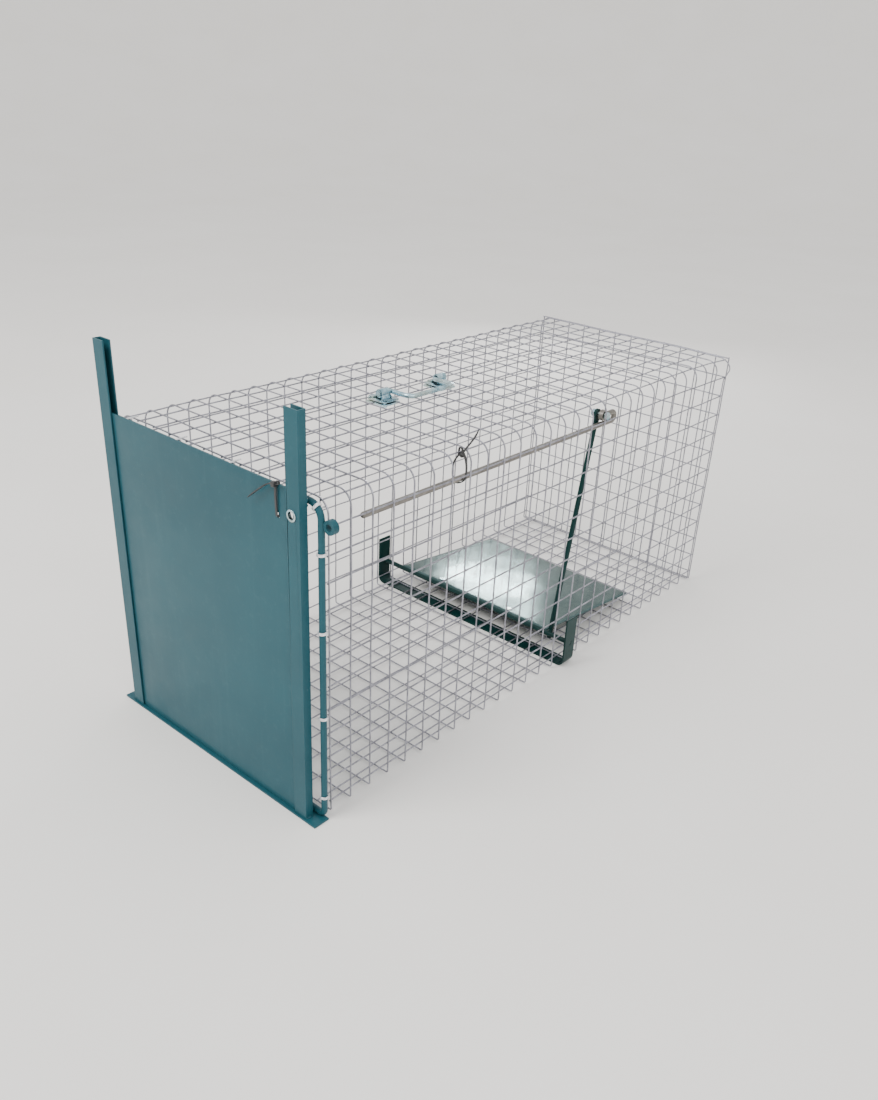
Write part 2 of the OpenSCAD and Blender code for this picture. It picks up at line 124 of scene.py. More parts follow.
class Nodes:
    """A node tree for one material, with short calls for the nodes that these finishes use."""

    def __init__(self, name):
        self.material = bpy.data.materials.new(name)
        self.material.use_nodes = True
        self.tree = self.material.node_tree
        self.shader = self.tree.nodes["Principled BSDF"]
        self.place = self.tree.nodes.new("ShaderNodeTexCoord").outputs["Object"]

    def link(self, source, target):
        self.tree.links.new(source, target)

    def stretched(self, scale):
        """Coordinates scaled per axis, so that a pattern runs along one of them."""
        mapping = self.tree.nodes.new("ShaderNodeMapping")
        mapping.inputs["Scale"].default_value = scale
        self.link(self.place, mapping.inputs["Vector"])
        return mapping.outputs["Vector"]

    def noise(self, scale, detail=4.0, rough=0.55, vector=None):
        node = self.tree.nodes.new("ShaderNodeTexNoise")
        node.inputs["Scale"].default_value = scale
        node.inputs["Detail"].default_value = detail
        node.inputs["Roughness"].default_value = rough
        self.link(vector or self.place, node.inputs["Vector"])
        return node.outputs["Fac"]

    def cells(self, scale):
        node = self.tree.nodes.new("ShaderNodeTexVoronoi")
        node.inputs["Scale"].default_value = scale
        self.link(self.place, node.inputs["Vector"])
        return node.outputs["Color"]

    def ramp(self, fac, *stops):
        node = self.tree.nodes.new("ShaderNodeValToRGB")
        elements = node.color_ramp.elements
        while len(elements) < len(stops):
            elements.new(0.5)
        for element, (where, colour) in zip(elements, stops):
            element.position = where
            grey = isinstance(colour, (int, float))
            element.color = (colour, colour, colour, 1) if grey else (*colour, 1)
        self.link(fac, node.inputs["Fac"])
        return node.outputs["Color"]

    def mix(self, fac, a, b, mode="MIX"):
        """Mixes two colours; each input may be a socket, a colour or a number."""
        node = self.tree.nodes.new("ShaderNodeMix")
        node.data_type = "RGBA"
        node.blend_type = mode
        for value, socket in ((fac, node.inputs[0]), (a, node.inputs[6]), (b, node.inputs[7])):
            if isinstance(value, bpy.types.NodeSocket):
                self.link(value, socket)
            elif isinstance(value, tuple):
                socket.default_value = (*value, 1)
            else:
                socket.default_value = value
        return node.outputs[2]

    def bump(self, height, strength, distance):
        """Adds a layer of relief on top of those already there."""
        node = self.tree.nodes.new("ShaderNodeBump")
        node.inputs["Strength"].default_value = strength
        node.inputs["Distance"].default_value = distance
        previous = self.shader.inputs["Normal"].links
        if previous:
            self.link(previous[0].from_socket, node.inputs["Normal"])
        self.link(height, node.inputs["Height"])
        self.link(node.outputs["Normal"], self.shader.inputs["Normal"])

    def finish(self, colour, roughness, metallic=0.0, **sockets):
        self.link(colour, self.shader.inputs["Base Color"])
        self.link(roughness, self.shader.inputs["Roughness"])
        self.shader.inputs["Metallic"].default_value = metallic
        for name, value in sockets.items():
            self.shader.inputs[name.replace("_", " ")].default_value = value
        return self.material


def paint(name, deep, plain, dusty, gloss, specular=0.2):
    """Enamel over steel: slow tone changes, orange peel, pale scuffs and a little dust."""
    n = Nodes(name)
    body = n.ramp(n.noise(5, 3), (0.3, deep), (0.7, plain))
    dust = n.ramp(n.noise(140, 9, 0.75), (0.54, 0.0), (0.82, 0.22))
    colour = n.mix(dust, body, dusty)
    streaks = n.noise(7, 5, 0.6, n.stretched((16, 16, 0.8)))
    colour = n.mix(n.ramp(streaks, (0.55, 0.0), (0.85, 0.12)), colour, dusty)
    chips = n.ramp(n.noise(260, 3, 0.8), (0.735, 0.0), (0.76, 1.0))
    sparse = n.ramp(n.noise(16, 2), (0.56, 0.0), (0.66, 1.0))
    worn = n.mix(1.0, chips, sparse, "MULTIPLY")
    colour = n.mix(worn, colour, (0.42, 0.50, 0.50))
    n.bump(n.noise(900, 2), 0.08, 0.00025)
    n.bump(n.noise(11, 2), 0.20, 0.0015)
    rough = n.ramp(n.noise(30, 5), (0.3, gloss), (0.75, gloss + 0.12))
    return n.finish(colour, rough, 0.0, Specular_IOR_Level=specular)


def steel(name, dark, light, gloss, grain, metallic, tint=None):
    """Bare plated steel with a mottled coat and a fine grain."""
    n = Nodes(name)
    colour = n.ramp(n.noise(grain, 6, 0.65), (0.3, dark), (0.7, light))
    if tint:
        colour = n.mix(n.ramp(n.noise(45, 2), (0.45, 0.0), (0.7, 0.6)), colour, tint)
    soil = n.ramp(n.noise(22, 6, 0.7), (0.55, 0.0), (0.8, 0.35))
    colour = n.mix(soil, colour, tuple(c * 0.62 for c in dark))
    n.bump(n.noise(1400, 3), 0.18, 0.0002)
    rough = n.ramp(n.noise(grain * 1.7, 4), (0.3, gloss), (0.75, gloss + 0.18))
    return n.finish(colour, rough, metallic)


def sheet_metal(name):
    """Galvanised sheet: faint spangle, soft waves and rubbing marks along its length."""
    n = Nodes(name)
    spangle = n.ramp(n.cells(150), (0.2, (0.055, 0.105, 0.105)), (0.85, (0.085, 0.145, 0.145)))
    colour = n.mix(n.ramp(n.noise(9, 4), (0.4, 0.0), (0.75, 0.5)), spangle, (0.04, 0.085, 0.085))
    rubbed = n.noise(30, 7, 0.7, n.stretched((9, 1, 1)))
    colour = n.mix(n.ramp(rubbed, (0.58, 0.0), (0.8, 0.2)), colour, (0.26, 0.34, 0.34))
    n.bump(n.noise(8, 2), 0.16, 0.002)
    n.bump(n.noise(60, 3, 0.6, n.stretched((10, 1, 1))), 0.05, 0.0004)
    rough = n.ramp(n.noise(25, 6, 0.7), (0.3, 0.12), (0.8, 0.21))
    return n.finish(colour, rough, 0.9)


def nylon(name):
    """Black plastic with a fine grain."""
    n = Nodes(name)
    colour = n.ramp(n.noise(180, 4), (0.3, (0.012, 0.012, 0.013)), (0.8, (0.035, 0.035, 0.037)))
    n.bump(n.noise(2400, 2), 0.2, 0.0001)
    return n.finish(colour, n.ramp(n.noise(90, 3), (0.3, 0.32), (0.8, 0.5)), 0.0)


def floor_material(name):
    """Matt, slightly warm and slightly uneven ground."""
    n = Nodes(name)
    colour = n.ramp(n.noise(3, 4), (0.3, (0.84, 0.82, 0.79)), (0.75, (0.87, 0.855, 0.83)))
    return n.finish(colour, n.ramp(n.noise(20, 4), (0.3, 0.75), (0.7, 0.85)), 0.0)


GREEN = paint("green_paint", (0.010, 0.061, 0.081), (0.017, 0.087, 0.111),
              (0.08, 0.19, 0.22), 0.30)
# A darker copy of the green paint for the treadle's parts: its extra darkness is painted shade,
# not a different paint.
SHADED_GREEN = paint("dark_green_paint", (0.002, 0.020, 0.019), (0.005, 0.034, 0.032),
                   (0.02, 0.07, 0.066), 0.28, 0.16)
WIRE = steel("galvanised_wire", (0.20, 0.20, 0.23), (0.46, 0.46, 0.52), 0.30, 170, 0.85)
# A brighter copy of the galvanised wire for the wraps round the hoop: the extra brightness is a
# painted highlight.
LIT_WIRE = steel("galvanised_wire_painted_highlight", (0.62, 0.63, 0.66), (0.90, 0.90, 0.92),
                    0.25, 170, 0.7)
ZINC = steel("zinc_plate", (0.10, 0.24, 0.31), (0.62, 0.82, 0.90), 0.16, 120, 0.95,
             (0.60, 0.54, 0.36))
PLAIN_STEEL = steel("plain_steel", (0.16, 0.15, 0.135), (0.32, 0.30, 0.27), 0.32, 90, 0.9)
SHEET = sheet_metal("galvanised_sheet")
BLACK = nylon("black_nylon")
SLOTS = {"green_paint": GREEN, "dark_green_paint": SHADED_GREEN, "galvanised_wire": WIRE,
         "zinc_plate": ZINC, "plain_steel": PLAIN_STEEL, "galvanised_sheet": SHEET,
         "black_nylon": BLACK}


# ---------------------------------------------------------------- mesh building

XY = ((1, 0, 0), (0, 1, 0))
XZ = ((1, 0, 0), (0, 0, 1))
YZ = ((0, 1, 0), (0, 0, 1))


def circle(radius, sides):
    step = 2 * math.pi / sides
    return [(radius * math.cos(k * step), radius * math.sin(k * step)) for k in range(sides)]


def round_rectangle(width, height, corner, steps=3):
    """Outline of a rectangle with round corners, counter-clockwise."""
    points = []
    for k, (sx, sy) in enumerate(((1, 1), (-1, 1), (-1, -1), (1, -1))):
        for j in range(steps + 1):
            a = math.radians(90 * k + 90 * j / steps)
            points.append((sx * (width / 2 - corner) + corner * math.cos(a),
                           sy * (height / 2 - corner) + corner * math.sin(a)))
    return points


def arc(centre, radius, start, end, steps, axes=XZ):
    """Points of an arc in the plane of the two axes; angles in degrees."""
    u, v, c = Vector(axes[0]), Vector(axes[1]), Vector(centre)
    angles = [math.radians(start + (end - start) * k / steps) for k in range(steps + 1)]
    return [c + radius * (math.cos(a) * u + math.sin(a) * v) for a in angles]


def between(a, b, steps):
    """Points from a up to, and without, b."""
    a, b = Vector(a), Vector(b)
    return [a.lerp(b, k / steps) for k in range(steps)]


class Shape:
    """Collects the faces of one piece. All lengths are in millimetres until it is made."""

    def __init__(self):
        self.points = []
        self.faces = []

    def rings(self, rings, closed=False, capped=True):
        """Skins a row of rings that all have the same number of points."""
        first, size = len(self.points), len(rings[0])
        for ring in rings:
            self.points.extend(ring)
        count = len(rings)
        for i in range(count if closed else count - 1):
            a, b = first + i * size, first + (i + 1) % count * size
            for j in range(size):
                k = (j + 1) % size
                self.faces.append((a + j, a + k, b + k, b + j))
        if capped and not closed:
            self.faces.append(tuple(range(first + size - 1, first - 1, -1)))
            last = first + (count - 1) * size
            self.faces.append(tuple(range(last, last + size)))

    def sweep(self, path, section, closed=False, side=None, scales=None):
        """Sweeps a section along a path. side fixes the section's second axis; without it the
        axes are carried along from point to point."""
        path = [Vector(p) for p in path]
        count = len(path)
        normal, rings = None, []
        for i, point in enumerate(path):
            before = path[i - 1] if closed or i else point
            after = path[(i + 1) % count] if closed or i < count - 1 else point
            tangent = (after - before).normalized()
            if side is not None:
                normal = tangent.cross(Vector(side)).normalized()
            elif normal is None:
                guide = Vector((0, 0, 1)) if abs(tangent.z) < 0.8 else Vector((1, 0, 0))
                normal = tangent.cross(guide).normalized()
            else:
                normal = (normal - tangent * normal.dot(tangent)).normalized()
            binormal = tangent.cross(normal)
            s = scales[i] if scales else 1.0
            rings.append([point + s * (x * normal + y * binormal) for x, y in section])
        self.rings(rings, closed)

    def tube(self, path, radius, sides=8, closed=False, scales=None):
        self.sweep(path, circle(radius, sides), closed, scales=scales)

    def turned(self, base, axis, profile, sides=32):
        """Solid of revolution: profile holds (distance along the axis, radius) pairs."""
        axis = Vector(axis).normalized()
        guide = Vector((0, 0, 1)) if abs(axis.z) < 0.8 else Vector((1, 0, 0))
        u = axis.cross(guide).normalized()
        v = axis.cross(u)
        self.rings([[Vector(base) + axis * d + u * x + v * y for x, y in circle(r, sides)]
                    for d, r in profile])

    def slab(self, outline, low, high, edge):
        """Flat plate from an outline in XY between two heights, its edges rounded by edge."""
        middle = Vector((sum(x for x, _ in outline), sum(y for _, y in outline))) / len(outline)
        reach = max((Vector(p) - middle).length for p in outline)
        rings = []
        for z, inset in ((low, edge), (low + edge * 0.3, edge * 0.3), (low + edge, 0),
                         (high - edge, 0), (high - edge * 0.3, edge * 0.3), (high, edge)):
            f = 1 - inset / reach
            rings.append([Vector((middle.x + (x - middle.x) * f, middle.y + (y - middle.y) * f, z))
                          for x, y in outline])
        self.rings(rings)

    def make(self, name, material, body, slot, *replaced, smooth=True):
        """Turns the faces into an object with its material, hangs it on its body and hides the CAD
        nodes it replaces.
        """
        mesh = bpy.data.meshes.new(name)
        mesh.from_pydata([p * MM for p in self.points], [], self.faces)
        mesh.validate()
        mesh.update()
        piece = bpy.data.objects.new(name, mesh)
        bpy.context.scene.collection.objects.link(piece)
        mesh.materials.append(material)
        if smooth:
            mesh.shade_smooth()
            mesh.set_sharp_from_angle(angle=math.radians(42))
        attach(piece, body)
        if replaced:
            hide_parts(*replaced)
        return piece


def add_bevel(piece, width):
    """Rounds the sharp edges of a piece; the width is in millimetres."""
    bevel = piece.modifiers.new("bevel", "BEVEL")
    bevel.width = width * MM
    bevel.segments = 2
    bevel.limit_method = "ANGLE"
    bevel.angle_limit = math.radians(40)
    bevel.harden_normals = True


def dress(node, bevel=0.3):
    """Gives a CAD node the finish of its material slot, joined faces and small rounded edges."""
    part = frame["nodes"][node]
    slot = next(s["material_slot"] for s in frame["record"]["subparts"] if s["node"] == node)
    part.data.materials.clear()
    part.data.materials.append(SLOTS[slot])
    weld = part.modifiers.new("weld", "WELD")
    weld.merge_threshold = 0.00001     # metres
    bpy.context.view_layer.objects.active = part
    if part.data.has_custom_normals:
        bpy.ops.mesh.customdata_custom_splitnormals_clear()
    part.data.shade_smooth()
    add_bevel(part, bevel)


def corner(node, high):
    """Lowest or highest corner of a CAD node, in millimetres."""
    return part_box(node)[1 if high else 0] / MM


# ---------------------------------------------------------------- welded mesh body

PITCH = 25.4                                        # one inch
CELLS = 27                                          # along the body
WIRE_R = (corner("mesh_top", True).z - corner("mesh_top", False).z) / 2
SET_DOWN = 1.5 * WIRE_R                             # middle to middle of two welded wires
SIDE_X = corner("mesh_right", True).x - WIRE_R      # middle of the side cross wires
TOP_Z = corner("mesh_top", True).z - WIRE_R         # middle of the top cross wires
LOW_Z = corner("mesh_floor", False).z + WIRE_R      # middle of the floor cross wires
FIRST_Y = corner("mesh_floor", False).y + WIRE_R    # first cross wire
REAR_Y = corner("mesh_rear", False).y               # front face of the rear panel
BEND = 14                                           # radius of the bent upper edges
BEND_X = SIDE_X - BEND
BEND_Z = TOP_Z - BEND
TOP_XS = [(k - 4.5) * PITCH - 2.4 for k in range(10)]
FLOOR_XS = [(k - 5) * PITCH for k in range(11)]
SIDE_ZS = [13.5 + k * PITCH for k in range(12)]
HOOP_R = 3.0


def uneven(point):
    """Small waves in the welded sheet, shared by wires that touch."""
    p = Vector(point)
    wave = noise.noise_vector(p / 95.0) * 0.9 + noise.noise_vector(p / 31.0) * 0.35
    return p + Vector((wave.x, wave.y * 0.5, wave.z))


def sprung(point):
    """Waves, and the right upper edge standing out a little at its rear end."""
    x, y, z = point
    near = max(0.0, 1 - (REAR_Y - y) / 34)
    high = max(0.0, 1 - ((z - TOP_Z + 10) / 15) ** 2)
    outer = min(1.0, max(0.0, (x - BEND_X + 8) / 12))
    return uneven((x + 6.5 * near * high * outer, y, z))


def cross_loop(y):
    """Path of one cross wire round the floor, the sides and the top."""
    low = 2.0                                       # radius of the lower folds
    path = between((-SIDE_X + low, y, LOW_Z), (SIDE_X - low, y, LOW_Z), 22)
    path += arc((SIDE_X - low, y, LOW_Z + low), low, -90, 0, 4)
    path += between((SIDE_X, y, LOW_Z + low + 10), (SIDE_X, y, BEND_Z), 22)
    path += arc((BEND_X, y, BEND_Z), BEND, 0, 90, 8)
    path += between((BEND_X - 10, y, TOP_Z), (-BEND_X, y, TOP_Z), 20)
    path += arc((-BEND_X, y, BEND_Z), BEND, 90, 180, 8)
    path += between((-SIDE_X, y, BEND_Z - 10), (-SIDE_X, y, LOW_Z + low), 22)
    path += arc((-SIDE_X + low, y, LOW_Z + low), low, 180, 270, 4)
    return path


def body_wires():
    """Cross wires bent round the body, and long wires welded to their inner side."""
    cross, long = Shape(), Shape()
    for k in range(CELLS + 1):
        cross.tube([sprung(p) for p in cross_loop(FIRST_Y + k * PITCH)], WIRE_R, closed=True)
    inner_x, inner_top, inner_low = SIDE_X - SET_DOWN, TOP_Z - SET_DOWN, LOW_Z + SET_DOWN
    reach = BEND - SET_DOWN
    bend_a = math.radians(64)                       # where the wire in the bent edge lies
    steps = 2 * CELLS
    lines = [(x, inner_low) for x in FLOOR_XS] + [(x, inner_top) for x in TOP_XS]
    for side in (-1, 1):
        lines += [(side * inner_x, z) for z in SIDE_ZS]
        lines.append((side * (BEND_X + reach * math.cos(bend_a)),
                      BEND_Z + reach * math.sin(bend_a)))
    start, end = FIRST_Y - WIRE_R, REAR_Y + 0.5
    for x, z in lines:
        path = [sprung((x, start + (end - start) * k / steps, z)) for k in range(steps + 1)]
        long.tube(path, WIRE_R)
    cross.make("cage_cross_wires", WIRE, "cage", "galvanised_wire", "mesh_bend_left",
               "mesh_bend_right", "mesh_left", "mesh_right")
    long.make("cage_long_wires", WIRE, "cage", "galvanised_wire", "mesh_top", "mesh_floor")


def rear_wires():
    """Square-cornered rear panel: level wires, and upright ones behind them."""
    shape = Shape()
    steps = 24
    y = REAR_Y + WIRE_R
    half, height = SIDE_X + WIRE_R, TOP_Z + WIRE_R - LOW_Z
    for z in [LOW_Z] + SIDE_ZS + [TOP_Z]:
        shape.tube([uneven((-half + 2 * half * k / steps, y, z)) for k in range(steps + 1)],
                   WIRE_R)
    for x in [-SIDE_X] + FLOOR_XS + [SIDE_X]:
        shape.tube([uneven((x, y + SET_DOWN, LOW_Z + height * k / steps))
                    for k in range(steps + 1)], WIRE_R)
    shape.make("cage_rear_wires", WIRE, "cage", "galvanised_wire", "mesh_rear")


def hoop_wraps():
    """Wire ends that go forward from the first cross wire and wind round the hoop."""
    low, high = corner("front_hoop", False), corner("front_hoop", True)
    hoop_y = (low.y + high.y) / 2
    leg_x, bar_z = high.x - HOOP_R, high.z - HOOP_R
    radius = HOOP_R + WIRE_R
    steps, sweep, spacing = 40, 560, 2.3 * WIRE_R   # about one and a half turns, in degrees
    back = Vector((0, 1, 0))
    shape = Shape()

    def wind(centre, inward, along):
        inward, along, centre = Vector(inward), Vector(along), Vector(centre)
        path = []
        for k in range(steps + 1):
            a = math.radians(sweep * k / steps)
            path.append(centre + radius * (math.cos(a) * inward + math.sin(a) * -back)
                        + along * (spacing * (k / steps - 0.5)))
        tail = path[0] + back * (FIRST_Y - hoop_y)
        shape.tube([tail + back * 1.2, tail - back * 2, path[0] + back * 2] + path, WIRE_R)

    for side in (-1, 1):
        for z in (26, 114, 201, 274):
            wind((side * leg_x, hoop_y, z), (-side, 0, 0), (0, 0, 1))
    for x in TOP_XS[::3]:
        wind((x, hoop_y, bar_z), (0, 0, 1), (1, 0, 0))
    bend, lean = 13, math.radians(52)               # upper corners of the hoop
    for side in (-1, 1):
        out = Vector((side * math.cos(lean), 0, math.sin(lean)))
        along = Vector((-side * math.sin(lean), 0, math.cos(lean)))
        centre = Vector((side * (leg_x - bend), hoop_y, bar_z - bend)) + out * bend
        wind(centre, -out, along)
    # The wraps take the brighter wire copy, a painted highlight.
    shape.make("hoop_wire_wraps", LIT_WIRE, "cage", "galvanised_wire", "hoop_wraps")


# ---------------------------------------------------------------- cable ties

TIE_HOLE = (110, 300)                               # x and z of the two holes in the door
LATCH_HOLE = (129, 306)
DOOR_THICK = 1.2


def smooth_path(points, steps=5):
    """Catmull-Rom curve through the points."""
    pts = [Vector(p) for p in points]
    pts = [2 * pts[0] - pts[1]] + pts + [2 * pts[-1] - pts[-2]]
    path = []
    for a, b, c, d in zip(pts, pts[1:], pts[2:], pts[3:]):
        for k in range(steps):
            t = k / steps
            path.append(0.5 * (2 * b + (c - a) * t + (2 * a - 5 * b + 4 * c - d) * t * t
                               + (3 * b - a - 3 * c + d) * t ** 3))
    return path + [pts[-2]]


def strap(shape, path, side, width=2.5, thick=1.1, tip=None, closed=False):
    """Strap of a cable tie; tip is the scale of its end, reached over the last fifth."""
    scales = None
    if tip:
        count = len(path)
        scales = [1 - (1 - tip) * max(0, k / (count - 1) - 0.8) / 0.2 for k in range(count)]
    shape.sweep(path, round_rectangle(thick, width, 0.3, 1), closed, side, scales)


def tie_head(shape, centre, along, across):
    """Head of a cable tie: a box with rounded ends."""
    along, across = Vector(along).normalized(), Vector(across).normalized()
    outline = round_rectangle(4.6, 4.2, 0.7)
    steps = ((-2.2, 0.80), (-1.9, 0.97), (-1.2, 1.0), (1.2, 1.0), (1.9, 0.97), (2.2, 0.80))
    shape.sweep([centre + along * d for d, _ in steps], outline, side=across,
                scales=[s for _, s in steps])


def door_tie():
    """Tie through the small hole and over the upper edge of the door."""
    low, high = corner("door_panel", False), corner("door_panel", True)
    x, hole_z = TIE_HOLE
    top = high.z
    near, far = low.y - 1.1, low.y + DOOR_THICK + 1.0
    middle, half = (near + far) / 2, (far - near) / 2
    shape = Shape()
    loop = [(x, near, hole_z + 1), (x, near - 0.4, hole_z + 8), (x, near - 0.8, top - 8),
            (x, near - 0.4, top - 2)]
    loop += arc((x, middle, top + 0.1), half + 0.1, 180, 0, 8, YZ)
    loop += [(x, far + 0.1, top - 10), (x, far, hole_z + 4)]
    loop += arc((x, middle, hole_z + 0.3), half, 0, -180, 8, YZ)
    strap(shape, loop, (1, 0, 0), thick=1.0, closed=True)
    head = Vector((x + 0.3, near - 2.0, top + 0.6))
    tie_head(shape, head, (-1, 0, -0.12), (0, 1, 0))
    tail = [head + Vector(p) for p in ((-1.5, 0, 0), (-6, -0.4, -1.2), (-12, -0.8, -4.8),
                                       (-19, -1.2, -10.2), (-26, -1.6, -15.8),
                                       (-31.5, -1.8, -20.4))]
    strap(shape, smooth_path(tail), (0, 1, 0), tip=0.55)
    stub = [head + Vector(p) for p in ((1.5, 0, 0.2), (4, 0, 1.0), (6.6, 0, 2.0))]
    strap(shape, stub, (0, 1, 0), width=2.0)
    shape.make("door_cable_tie", BLACK, "door", "black_nylon", "door_tie")


def rod_tie():
    """Loose tie that hangs from the long wire in the bent edge and carries the rod."""
    under = corner("trigger_rod", False).z
    shape = Shape()
    loop = [(139.6, 188, 312.6), (140.2, 188, 316.0), (138.6, 188.4, 318.4),
            (135.6, 189, 317.6), (133.0, 191, 309.5), (127.8, 193.2, 303.0),
            (124.9, 194.2, under + 16.5), (124.4, 195.2, under + 5), (126.6, 197, under - 0.6),
            (130.2, 199.6, under - 0.9), (133.4, 201.6, under + 2.2), (134.4, 202.4, under + 8),
            (135.2, 201, under + 18), (137.4, 195.4, under + 28), (139.2, 190, 311.2)]
    strap(shape, smooth_path(loop), (0, 1, 0))
    head = Vector((139.6, 188.2, 312.4))
    tie_head(shape, head, (-0.25, 0.75, 0.62), (1, 0, 0.3))
    tail = [head + Vector(p) for p in ((0, 1.5, 1.3), (-0.2, 6, 4.6), (-0.8, 13, 8.2),
                                       (-1.8, 20, 12.0), (-2.8, 26.5, 17.4))]
    strap(shape, smooth_path(tail), (1, 0, 0), width=2.0, tip=0.5)
    shape.make("rod_cable_tie", BLACK, "cage", "black_nylon", "rod_tie")


# ---------------------------------------------------------------- door

def bored(piece, holes):
    """Cuts round holes along Y, given as (place, radius), and keeps the result in the mesh."""
    reach, sides = 30, 40
    for (x, z), radius in holes:
        cutter = Shape()
        cutter.turned((x, -reach, z), (0, 1, 0), ((0, radius), (2 * reach, radius)), sides)
        mesh = bpy.data.meshes.new("cutter")
        mesh.from_pydata([p * MM for p in cutter.points], [], cutter.faces)
        tool = bpy.data.objects.new("cutter", mesh)
        bpy.context.scene.collection.objects.link(tool)
        cut = piece.modifiers.new("hole", "BOOLEAN")
        cut.operation = "DIFFERENCE"
        cut.solver = "EXACT"
        cut.object = tool
        bpy.context.view_layer.update()
        graph = bpy.context.evaluated_depsgraph_get()
        result = bpy.data.meshes.new_from_object(piece.evaluated_get(graph))
        piece.modifiers.clear()
        piece.data = result
        bpy.data.objects.remove(tool)


def door_sheet():
    """Door sheet with two side lips folded back on small bends."""
    low, high = corner("door_panel", False), corner("door_panel", True)
    bend = 1.6
    half, front, back = high.x, low.y, high.y
    centre = (half - bend, front + bend, 0)
    outer = arc(centre, bend, 0, -90, 6, XY)
    inner = arc(centre, bend - DOOR_THICK, -90, 0, 6, XY)
    outline = [Vector((half - DOOR_THICK, back, 0)), Vector((half, back, 0))] + outer
    outline += [Vector((-p.x, p.y, 0)) for p in reversed(outer)]
    outline += [Vector((-half, back, 0)), Vector((-half + DOOR_THICK, back, 0))]
    outline += [Vector((-p.x, p.y, 0)) for p in reversed(inner)]
    outline += inner
    shape = Shape()
    shape.rings([[Vector((p.x, p.y, z)) for p in outline] for z in (low.z, high.z)])
    piece = shape.make("door_sheet", GREEN, "door", "green_paint", "door_panel", smooth=False)
    bored(piece, ((LATCH_HOLE, 4.5), (TIE_HOLE, 2.5)))
    piece.data.shade_smooth()
    piece.data.set_sharp_from_angle(angle=math.radians(30))


# ---------------------------------------------------------------- handle

def handle_brackets():
    """Two base plates, each with a strip folded over it into a tunnel."""
    sheet, width, radius = 1.4, 13, 3.9
    foot = ((12, 2.0), (8.5, 2.0), (6.6, 2.1), (5.3, 3.0))     # outside to inside
    for end in ("front", "rear"):
        node = "handle_bracket_" + end
        low, high = corner(node, False), corner(node, True)
        x, y, z = (low.x + high.x) / 2, (low.y + high.y) / 2, low.z
        shape = Shape()
        outline = round_rectangle(high.x - low.x, high.y - low.y, 3)
        shape.slab([(x + a, y + b) for a, b in outline], z, z + sheet, 0.25)
        path = [(x - a, y, z + b) for a, b in foot]
        path += arc(Vector((x, y, high.z - 5)), radius, 205, -25, 20)
        path += [(x + a, y, z + b) for a, b in reversed(foot)]
        shape.sweep(path, round_rectangle(sheet, width, 0.3, 2), side=(0, 1, 0))
        shape.make("handle_tunnel_" + end, ZINC, "cage", "zinc_plate", node)


def handle_bail():
    """Grip bent from one bar, with a flattened disc near each end."""
    low, high = corner("handle_bail", False), corner("handle_bail", True)
    r = 2.5
    x, y, z = low.x + r, (low.y + high.y) / 2, low.z + r
    pin, grip = (high.y - low.y) / 2, high.x - r
    arm, elbow, bend = 34.0, 3.4, 8.0
    half = [Vector((x, y + pin, z)), Vector((x, y + arm + elbow, z))]
    half += arc((x + elbow, y + arm + elbow, z), elbow, 180, 270, 6, XY)[1:]
    half += arc((grip - bend, y + arm - bend, z), bend, 90, 0, 8, XY)
    shape = Shape()
    shape.tube(half + [Vector((p.x, 2 * y - p.y, p.z)) for p in reversed(half)], r, 20)
    disc = ((0, 2.6), (0.1, 3.9), (0.4, 4.1), (0.7, 3.5))
    for side in (-1, 1):
        shape.turned((x, y + side * (pin - 0.95), z), (0, side, 0), disc)
    shape.make("handle_bail_bar", ZINC, "bail", "zinc_plate", "handle_bail")


# ---------------------------------------------------------------- treadle

PIVOT = (corner("pivot_rod", False) + corner("pivot_rod", True)) / 2
SPRUNG_SLOPE = math.radians(6.2)


def on_treadle(x, y, z):
    """A point drawn in the treadle's own frame, put at the sprung slope."""
    c, s = math.cos(SPRUNG_SLOPE), math.sin(SPRUNG_SLOPE)
    return Vector((x, PIVOT.y + y * c + z * s, PIVOT.z - y * s + z * c))


def treadle_sheet():
    """Thin sheet with a soft crown and edges rolled down over the bars."""
    half, front, rear, thick = 118.0, 0.0, 190.0, 1.0
    height, crown_rise = 3.9, 1.1                   # upper face above the pivot's axis
    roll_width, roll_drop = 2.2, 0.8
    nx, ny = 40, 34

    def spread(k, n, low, high):
        t = k / n
        t = 0.5 - 0.5 * math.cos(math.pi * t) if 0 < t < 1 else t
        return low + (high - low) * t

    def lift(x, y):
        u, v = x / half, (2 * y - front - rear) / (rear - front)
        crown = crown_rise * (1 - u * u) * (1 - v * v)
        edge = min(half - abs(x), y - front, rear - y)
        roll = roll_drop * (1 - min(edge, roll_width) / roll_width) ** 2
        return height + crown - roll + 0.25 * noise.noise(Vector((x / 45, y / 45, 0)))

    shape = Shape()
    grid = [[(spread(i, nx, -half, half), spread(j, ny, front, rear)) for j in range(ny + 1)]
            for i in range(nx + 1)]
    for drop in (0, thick):
        for column in grid:
            shape.points += [on_treadle(x, y, lift(x, y) - drop) for x, y in column]
    count = ny + 1
    below = (nx + 1) * count
    for i in range(nx):
        for j in range(ny):
            a = i * count + j
            quad = (a, a + count, a + count + 1, a + 1)
            shape.faces.append(quad)
            shape.faces.append(tuple(below + q for q in reversed(quad)))
    rim = [i * count for i in range(nx + 1)] + [nx * count + j for j in range(1, count)]
    rim += [i * count + ny for i in range(nx - 1, -1, -1)] + [j for j in range(ny - 1, 0, -1)]
    for a, b in zip(rim, rim[1:] + rim[:1]):
        shape.faces.append((b, a, below + a, below + b))
    shape.make("treadle_sheet", SHEET, "treadle", "galvanised_sheet", "treadle_plate")


# ---------------------------------------------------------------- welds

def bead(shape, path, radius):
    """A lumpy weld bead along a path, thin at both ends."""
    path = smooth_path(path, 6)
    scales = []
    for k, p in enumerate(path):
        ends = math.sin(math.pi * (k + 0.4) / (len(path) - 0.2)) ** 0.5
        scales.append(ends * (1 + 0.28 * noise.noise(p / 1.7)))
    shape.tube(path, radius, 10, scales=scales)


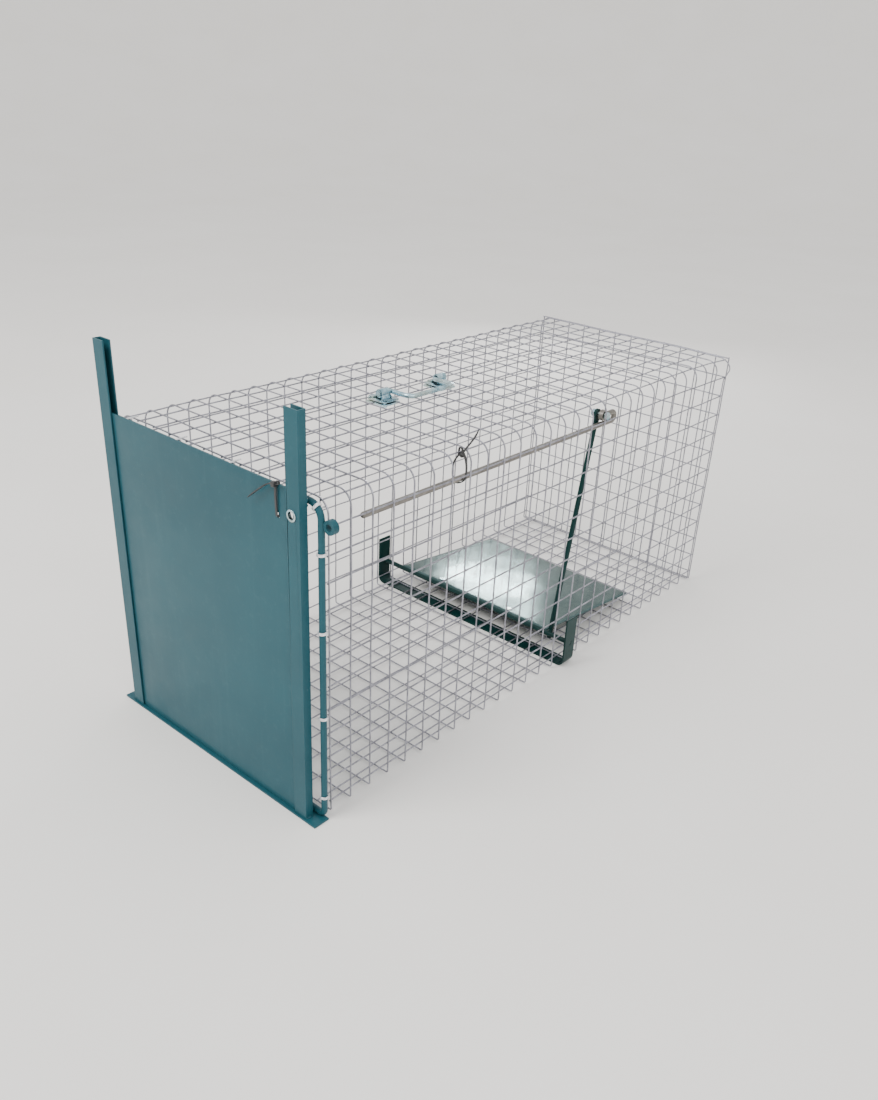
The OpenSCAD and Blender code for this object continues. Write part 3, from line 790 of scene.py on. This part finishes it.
def frame_welds():
    """Uprights to the sill and the hoop, the hoop to the sill, and the ring to the hoop."""
    shape = Shape()
    hoop_low, hoop_high = corner("front_hoop", False), corner("front_hoop", True)
    bar_z = hoop_high.z - HOOP_R
    for side, node in ((-1, "upright_left"), (1, "upright_right")):
        low, high = corner(node, False), corner(node, True)
        outer = side * max(abs(low.x), abs(high.x))
        inner = side * min(abs(low.x), abs(high.x))
        across, along = (outer + inner) / 2, (low.y + high.y) / 2
        foot = low.z + 0.2
        bead(shape, [(outer, y, foot) for y in (low.y, along, high.y)], 1.3)
        bead(shape, [(x, high.y, foot) for x in (outer, across, inner)], 1.3)
        for z in (bar_z - 2.4, bar_z + 2.4):
            bead(shape, [(outer - side * 1, high.y + 1.2, z), (across, high.y + 1.5, z),
                         (inner + side * 1, high.y + 1.2, z)], 2.0)
        leg = side * (hoop_high.x - 22)
        for y in (hoop_low.y + 1.2, hoop_high.y - 1.2):
            bead(shape, [(leg - 7, y, foot + 0.2), (leg, y, foot + 0.4),
                         (leg + 7, y, foot + 0.2)], 1.2)
    eye = (corner("anchor_eye", False) + corner("anchor_eye", True)) / 2
    edge = corner("anchor_eye", False).x + 1.2
    for y in (eye.y - 2.2, eye.y + 0.6):
        bead(shape, [(edge, y, eye.z - 3.5), (edge - 0.3, y, eye.z), (edge, y, eye.z + 3.5)], 1.1)
    shape.make("cage_weld_beads", GREEN, "cage", "green_paint")


def treadle_welds():
    """Beads along the rear of the pivot rod, and at the foot of the lever."""
    shape = Shape()
    for x in (-112, -60, 0, 60, 112):
        bead(shape, [on_treadle(x - 7, 3.0, 2.6), on_treadle(x, 3.2, 2.7),
                     on_treadle(x + 7, 3.0, 2.6)], 0.8)
    lever = corner("lever", False).x + 3
    for z in (-2.6, 2.4):
        bead(shape, [on_treadle(lever - 3, 2.8, z), on_treadle(lever, 3.1, z),
                     on_treadle(lever + 3, 2.8, z)], 1.2)
    # The treadle beads take the darker green copy, whose darkness is painted shade.
    shape.make("treadle_weld_beads", SHADED_GREEN, "treadle", "dark_green_paint")


# ---------------------------------------------------------------- build

make_camera()
make_studio()
door_sheet()
body_wires()
rear_wires()
hoop_wraps()
door_tie()
rod_tie()
handle_brackets()
handle_bail()
treadle_sheet()
frame_welds()
treadle_welds()
for node in ("sill", "upright_left", "upright_right", "front_hoop", "anchor_eye",
             "treadle_bracket", "treadle_frame", "handle_backing_front", "handle_backing_rear"):
    dress(node)
for node in ("latch_bush", "treadle_rivets", "pivot_rod", "lever", "lever_bolt", "lever_nut",
             "trigger_rod", "handle_rivets"):
    dress(node, 0.2)

make_floor()
